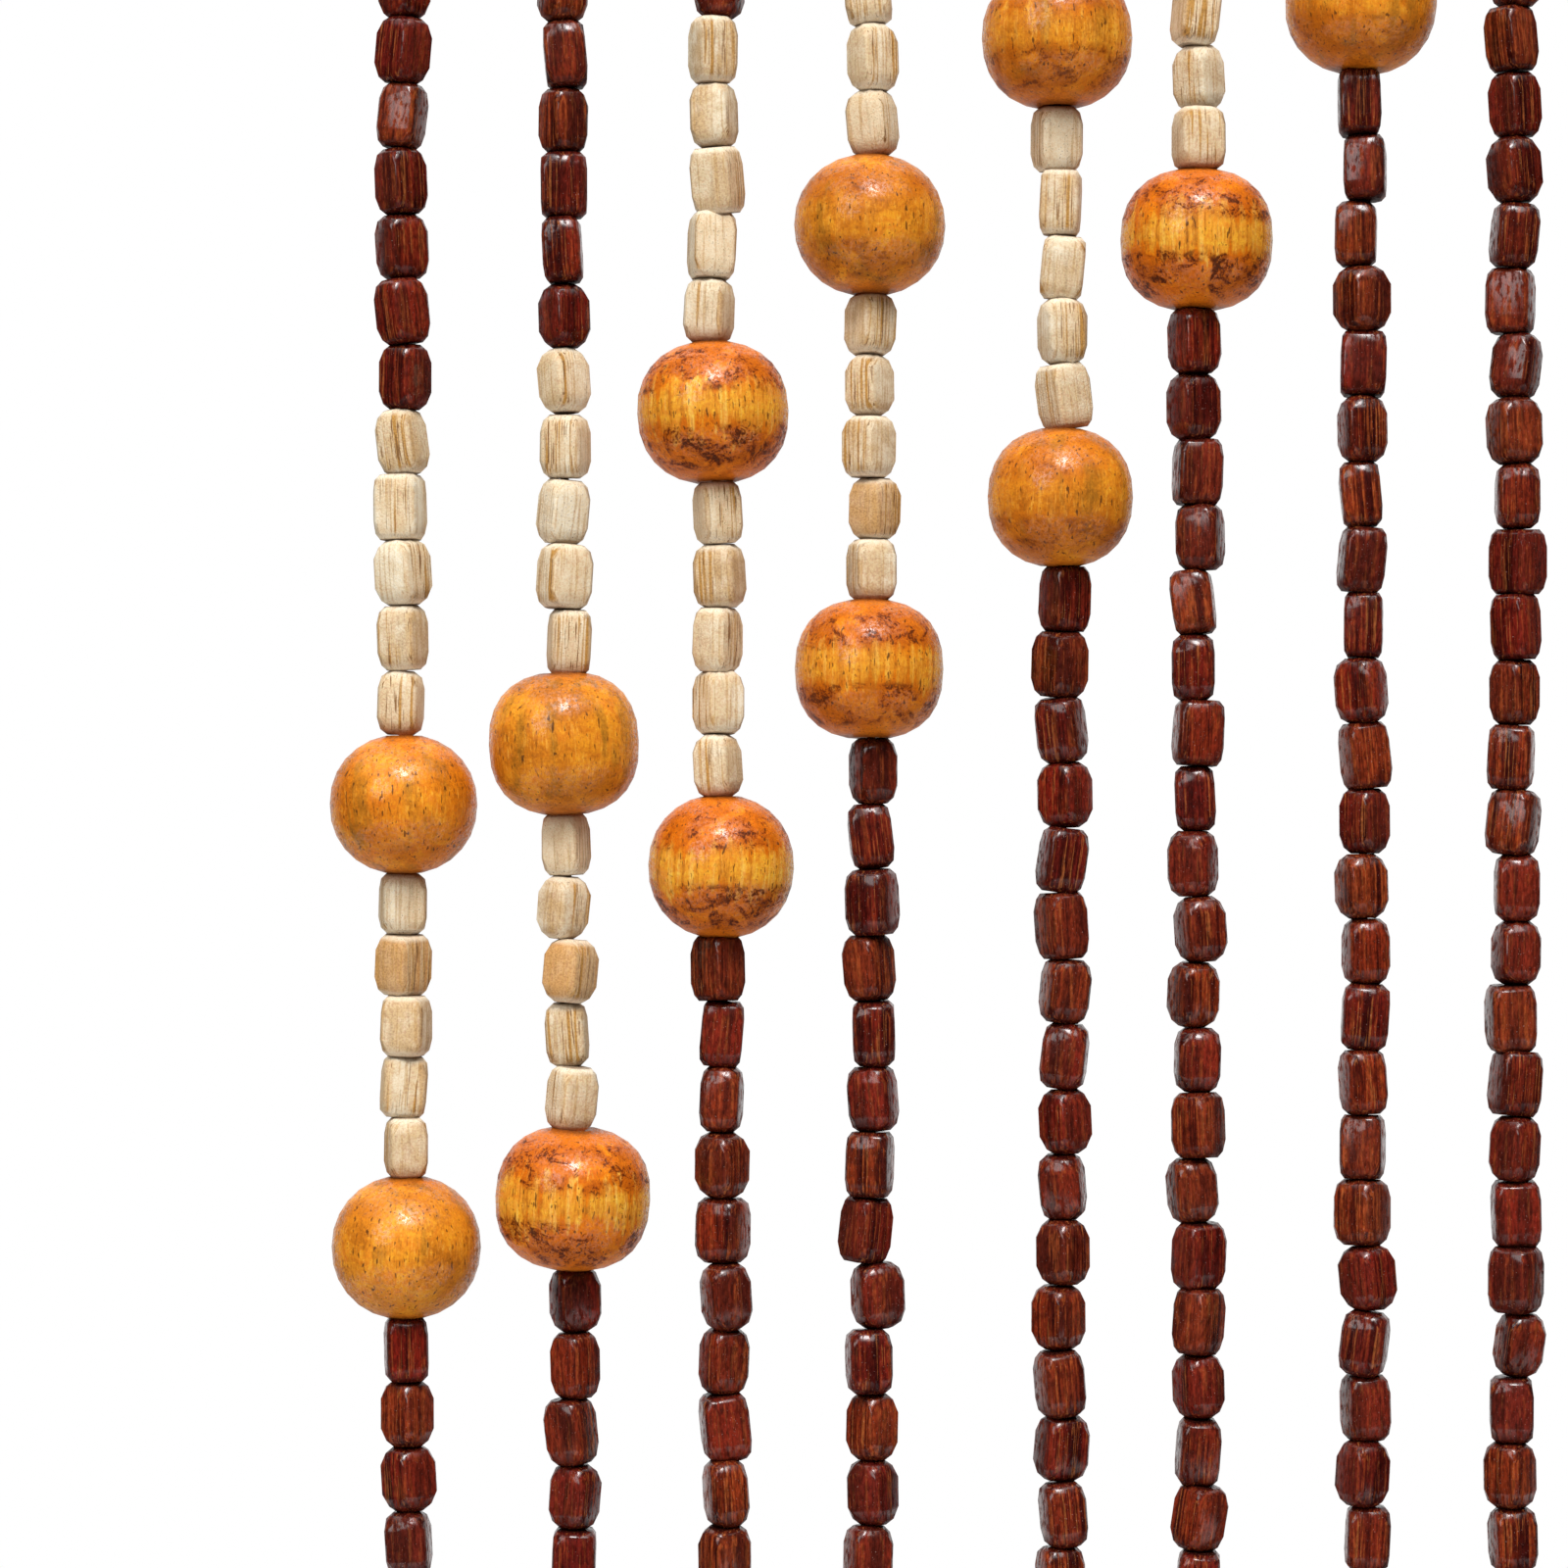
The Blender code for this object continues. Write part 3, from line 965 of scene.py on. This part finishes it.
class CURTAIN_OT_braid(bpy.types.Operator):
    """Plait the braid that the cords hang from, with a flat edge that goes up into the tape"""

    bl_idname = "curtain.braid"
    bl_label = "Braid"

    def execute(self, context):
        sizes = context.scene.curtain_sizes
        colours = context.scene.curtain_colours
        finish = thread_finish("braid_yarn", colours.tape, (0.15, 0.065, 0.04), 260)
        top = STRANDS_HIGH.z
        foot = max(strand["top"] for strand in read_strands(sizes)) + BRAID_LIFT
        start, end = TAPE_LOW.x + BRAID_YARN, TAPE_HIGH.x - BRAID_YARN
        x = np.linspace(start, end, round((end - start) / sizes.plait * BRAID_POINTS))
        yarns = []
        for phase in range(3):
            angle = math.tau * (x / sizes.plait + phase / 3)
            z = (top + foot) / 2 + ((top - foot) / 2 - BRAID_YARN) * np.sin(angle)
            yarns.append(np.stack([x, BRAID_DEPTH * np.sin(2 * angle), z], axis=1))
        braid = tube("hanging_braid", yarns, BRAID_YARN, 1, finish)
        bpy.ops.object.select_all(action="DESELECT")
        bpy.ops.mesh.primitive_cube_add(size=1, location=(0, 0, top + BRAID_EDGE["middle"]))
        edge = new_piece("braid_edge", finish)
        edge.scale = (end - start, BRAID_EDGE["thick"], BRAID_EDGE["height"])
        bpy.ops.object.transform_apply(location=True, rotation=False, scale=True)
        braid.select_set(True)
        bpy.context.view_layer.objects.active = braid
        bpy.ops.object.join()
        seat(braid, "heading_tape", "bead_strands")
        return {"FINISHED"}


class CURTAIN_OT_heading(bpy.types.Operator):
    """Fold the heading tape over, and sew it through along both of its edges"""

    bl_idname = "curtain.heading"
    bl_label = "Heading tape"

    def execute(self, context):
        sizes = context.scene.curtain_sizes
        finish = tape_cloth(context.scene.curtain_colours)
        drop = TAPE_HIGH.z - TAPE_LOW.z
        reach = (TAPE_HIGH.y - TAPE_LOW.y - sizes.cloth) / 2
        top = TAPE_HIGH.z - reach - sizes.cloth / 2
        turns = np.linspace(0, math.pi, FOLD_POINTS)
        fold = [(-reach * math.cos(turn), top + reach * math.sin(turn)) for turn in turns]
        profile = [(-reach, TAPE_LOW.z), *fold, (reach, TAPE_LOW.z)]
        width = TAPE_HIGH.x - TAPE_LOW.x
        tape = self.fold_cloth(profile, width, sizes.cloth, finish)
        seat(tape, "heading_tape", "heading_tape")
        steps = zip(profile, profile[1:])
        round_fold = sum(math.dist(first, second) for first, second in steps)
        self.sew(sizes, drop)
        return {"FINISHED"}

    def fold_cloth(self, profile, width, cloth, finish):
        """Extrudes the cloth's lower front edge up, over the fold and down the back, and thickens it."""
        (y, low), (_, high) = profile[:2]
        bpy.ops.object.select_all(action="DESELECT")
        bpy.ops.mesh.primitive_plane_add(size=1)
        tape = new_piece("folded_heading_tape", finish)
        tape.dimensions = (width, high - low, 0)
        tape.rotation_euler = (math.pi / 2, 0, 0)
        tape.location = (0, y, (low + high) / 2)
        bpy.ops.object.transform_apply(location=True, rotation=True, scale=True)
        bpy.ops.object.mode_set(mode="EDIT")
        for (y, z), (next_y, next_z) in zip(profile[1:], profile[2:]):
            here = Vector((0, y, z))
            pick(tape, "vert", lambda v, here=here: (v.co - here).yz.length < 0.01 * MM)
            bpy.ops.mesh.select_mode(type="EDGE")
            move = (0, next_y - y, next_z - z)
            bpy.ops.mesh.extrude_region_move(TRANSFORM_OT_translate={"value": move})
        pick(tape, "edge", lambda e: abs(e.verts[0].co.x - e.verts[1].co.x) > 0.1)
        bpy.ops.mesh.subdivide(number_cuts=CLOTH_CUTS["across"])
        pick(tape, "edge", lambda e: abs(e.verts[0].co.z - e.verts[1].co.z) > 10 * MM)
        bpy.ops.mesh.subdivide(number_cuts=CLOTH_CUTS["down"])
        bpy.ops.mesh.select_all(action="SELECT")
        bpy.ops.transform.vertex_random(offset=UNEVEN_CLOTH, seed=5)
        bpy.ops.object.mode_set(mode="OBJECT")
        thick = tape.modifiers.new("thickness", "SOLIDIFY")
        thick.thickness = cloth
        thick.offset = 0
        bpy.ops.object.modifier_apply(modifier=thick.name)
        bpy.ops.object.mode_set(mode="EDIT")
        bpy.ops.mesh.select_all(action="SELECT")
        bpy.ops.mesh.normals_make_consistent(inside=False)
        bpy.ops.object.mode_set(mode="OBJECT")
        bpy.ops.object.shade_smooth_by_angle(angle=math.radians(40))
        return tape

    def sew(self, sizes, drop):
        """Two rows of stitches, sunk into the cloth on both faces."""
        bpy.ops.object.select_all(action="DESELECT")
        bpy.ops.mesh.primitive_uv_sphere_add(segments=5, ring_count=4, radius=1)
        stitch = new_piece("stitch", None)
        stitch.scale = (STITCH_RADIUS, STITCH_RADIUS, sizes.stitch / 2)
        stitch.rotation_euler = (0, math.pi / 2, 0)
        bpy.ops.object.transform_apply(location=False, rotation=True, scale=True)
        pitch = sizes.stitch * STITCH_PITCH
        count = int((TAPE_HIGH.x - TAPE_LOW.x) / pitch)
        across = (np.arange(count) - (count - 1) / 2) * pitch
        places = []
        for z in (TAPE_HIGH.z - STITCH_ROWS["top"] * drop, TAPE_LOW.z + STITCH_ROWS["foot"] * drop):
            for y in (TAPE_LOW.y, TAPE_HIGH.y):
                places += [(x, y, z) for x in across]
        rng = np.random.default_rng(SEED + 4)
        lean = turning(1, rng.normal(0, 0.05, len(places)))
        thread = thread_finish("sewing_thread", (0.035, 0.012, 0.008), (0.12, 0.05, 0.03), 900)
        stitches = scatter("heading_stitches", stitch, places, lean, thread)
        seat(stitches, "heading_tape", "heading_tape")
        clear_away([stitch])


# Each sun's name, its lean and turn in degrees, its strength, and its angle in radians
SUNS = (
    ("key_light", 37, 10, 1.35, 0.70),
    ("window_light", 40, 2, 1.5, 0.31),
    ("side_light", 66, -34, 0.95, 0.60),
)
FLOOR_SIZE = 4
SENSOR_WIDTH = 36.0
FRONT_GLOW = 0.03
TOP_GLOW = 1.9


class CURTAIN_OT_stage(bpy.types.Operator):
    """Set the floor, the lights and the camera"""

    bl_idname = "curtain.stage"
    bl_label = "Stage"

    def execute(self, context):
        settings = context.scene.curtain_stage
        bpy.ops.object.select_all(action="DESELECT")
        place = (0, 0, STRANDS_LOW.z - settings.floor_gap)
        bpy.ops.mesh.primitive_plane_add(size=FLOOR_SIZE, location=place)
        floor = new_piece("stage_floor", floor_finish())

        for name, lean, turn, strength, angle in SUNS:
            bpy.ops.object.light_add(type="SUN", rotation=(math.radians(lean), 0, math.radians(turn)))
            lamp = context.object
            lamp.name = name
            lamp.data.energy = strength
            lamp.data.angle = angle
        self.light_world(context.scene)

        strands = read_strands(context.scene.curtain_sizes)
        first = strands[0]["route"][-1, 1]
        distance = settings.view_width * settings.lens / SENSOR_WIDTH
        place = (first + settings.view_side, -distance, settings.view_height)
        bpy.ops.object.camera_add(location=place, rotation=(math.pi / 2, 0, 0))
        camera = context.object
        camera.name = "photo_camera"
        camera.data.lens = settings.lens
        camera.data.sensor_width = SENSOR_WIDTH
        camera.data.clip_start = 0.01
        context.scene.camera = camera
        context.scene.view_settings.view_transform = "Standard"
        return {"FINISHED"}

    def light_world(self, scene):
        """White to the camera. To the beads it is white behind and above, and a dark studio in front."""
        world = bpy.data.worlds.new("studio")
        world.use_nodes = True
        scene.world = world
        graph = Graph(world.node_tree)
        _, y, z = graph.parts(graph.node("ShaderNodeTexCoord").outputs["Generated"])
        behind, above = y.between(0.35, 0.90), z.between(0.50, 0.85)
        strength = FRONT_GLOW + (1 - FRONT_GLOW) * behind + TOP_GLOW * above * (1 - behind)
        around = graph.node("ShaderNodeBackground", None, {"Strength": strength})
        seen = graph.node("ShaderNodeBackground", None, {"Color": (1, 1, 1, 1)})
        to_camera = graph.node("ShaderNodeLightPath").outputs["Is Camera Ray"]
        backgrounds = {0: to_camera, 1: around.outputs[0], 2: seen.outputs[0]}
        mixed = graph.node("ShaderNodeMixShader", None, backgrounds)
        graph.fill(graph.tree.nodes["World Output"], {"Surface": mixed.outputs[0]})


class CURTAIN_PT_panel(bpy.types.Panel):
    """Lists the steps that make the curtain"""

    bl_idname = "CURTAIN_PT_panel"
    bl_label = "Bead curtain"
    bl_space_type = "VIEW_3D"
    bl_region_type = "UI"
    bl_category = "Curtain"

    def draw(self, context):
        for step in STEPS:
            self.layout.operator(step.bl_idname)
        for settings in ("curtain_sizes", "curtain_colours", "curtain_stage"):
            group = getattr(context.scene, settings)
            box = self.layout.box()
            for name in group.bl_rna.properties.keys():
                if name not in ("rna_type", "name"):
                    box.prop(group, name)


STEPS = (
    CURTAIN_OT_heading,
    CURTAIN_OT_braid,
    CURTAIN_OT_cords,
    CURTAIN_OT_dark_beads,
    CURTAIN_OT_light_beads,
    CURTAIN_OT_large_beads,
    CURTAIN_OT_stage,
)
CLASSES = (CurtainSizes, CurtainColours, CurtainStage, *STEPS, CURTAIN_PT_panel)


def register():
    for cls in CLASSES:
        bpy.utils.register_class(cls)
    bpy.types.Scene.curtain_sizes = bpy.props.PointerProperty(type=CurtainSizes)
    bpy.types.Scene.curtain_colours = bpy.props.PointerProperty(type=CurtainColours)
    bpy.types.Scene.curtain_stage = bpy.props.PointerProperty(type=CurtainStage)


def unregister():
    del bpy.types.Scene.curtain_stage
    del bpy.types.Scene.curtain_colours
    del bpy.types.Scene.curtain_sizes
    for cls in reversed(CLASSES):
        bpy.utils.unregister_class(cls)


def main():
    register()
    for step in STEPS:
        group, name = step.bl_idname.split(".")
        getattr(getattr(bpy.ops, group), name)()


if __name__ == "__main__":
    main()
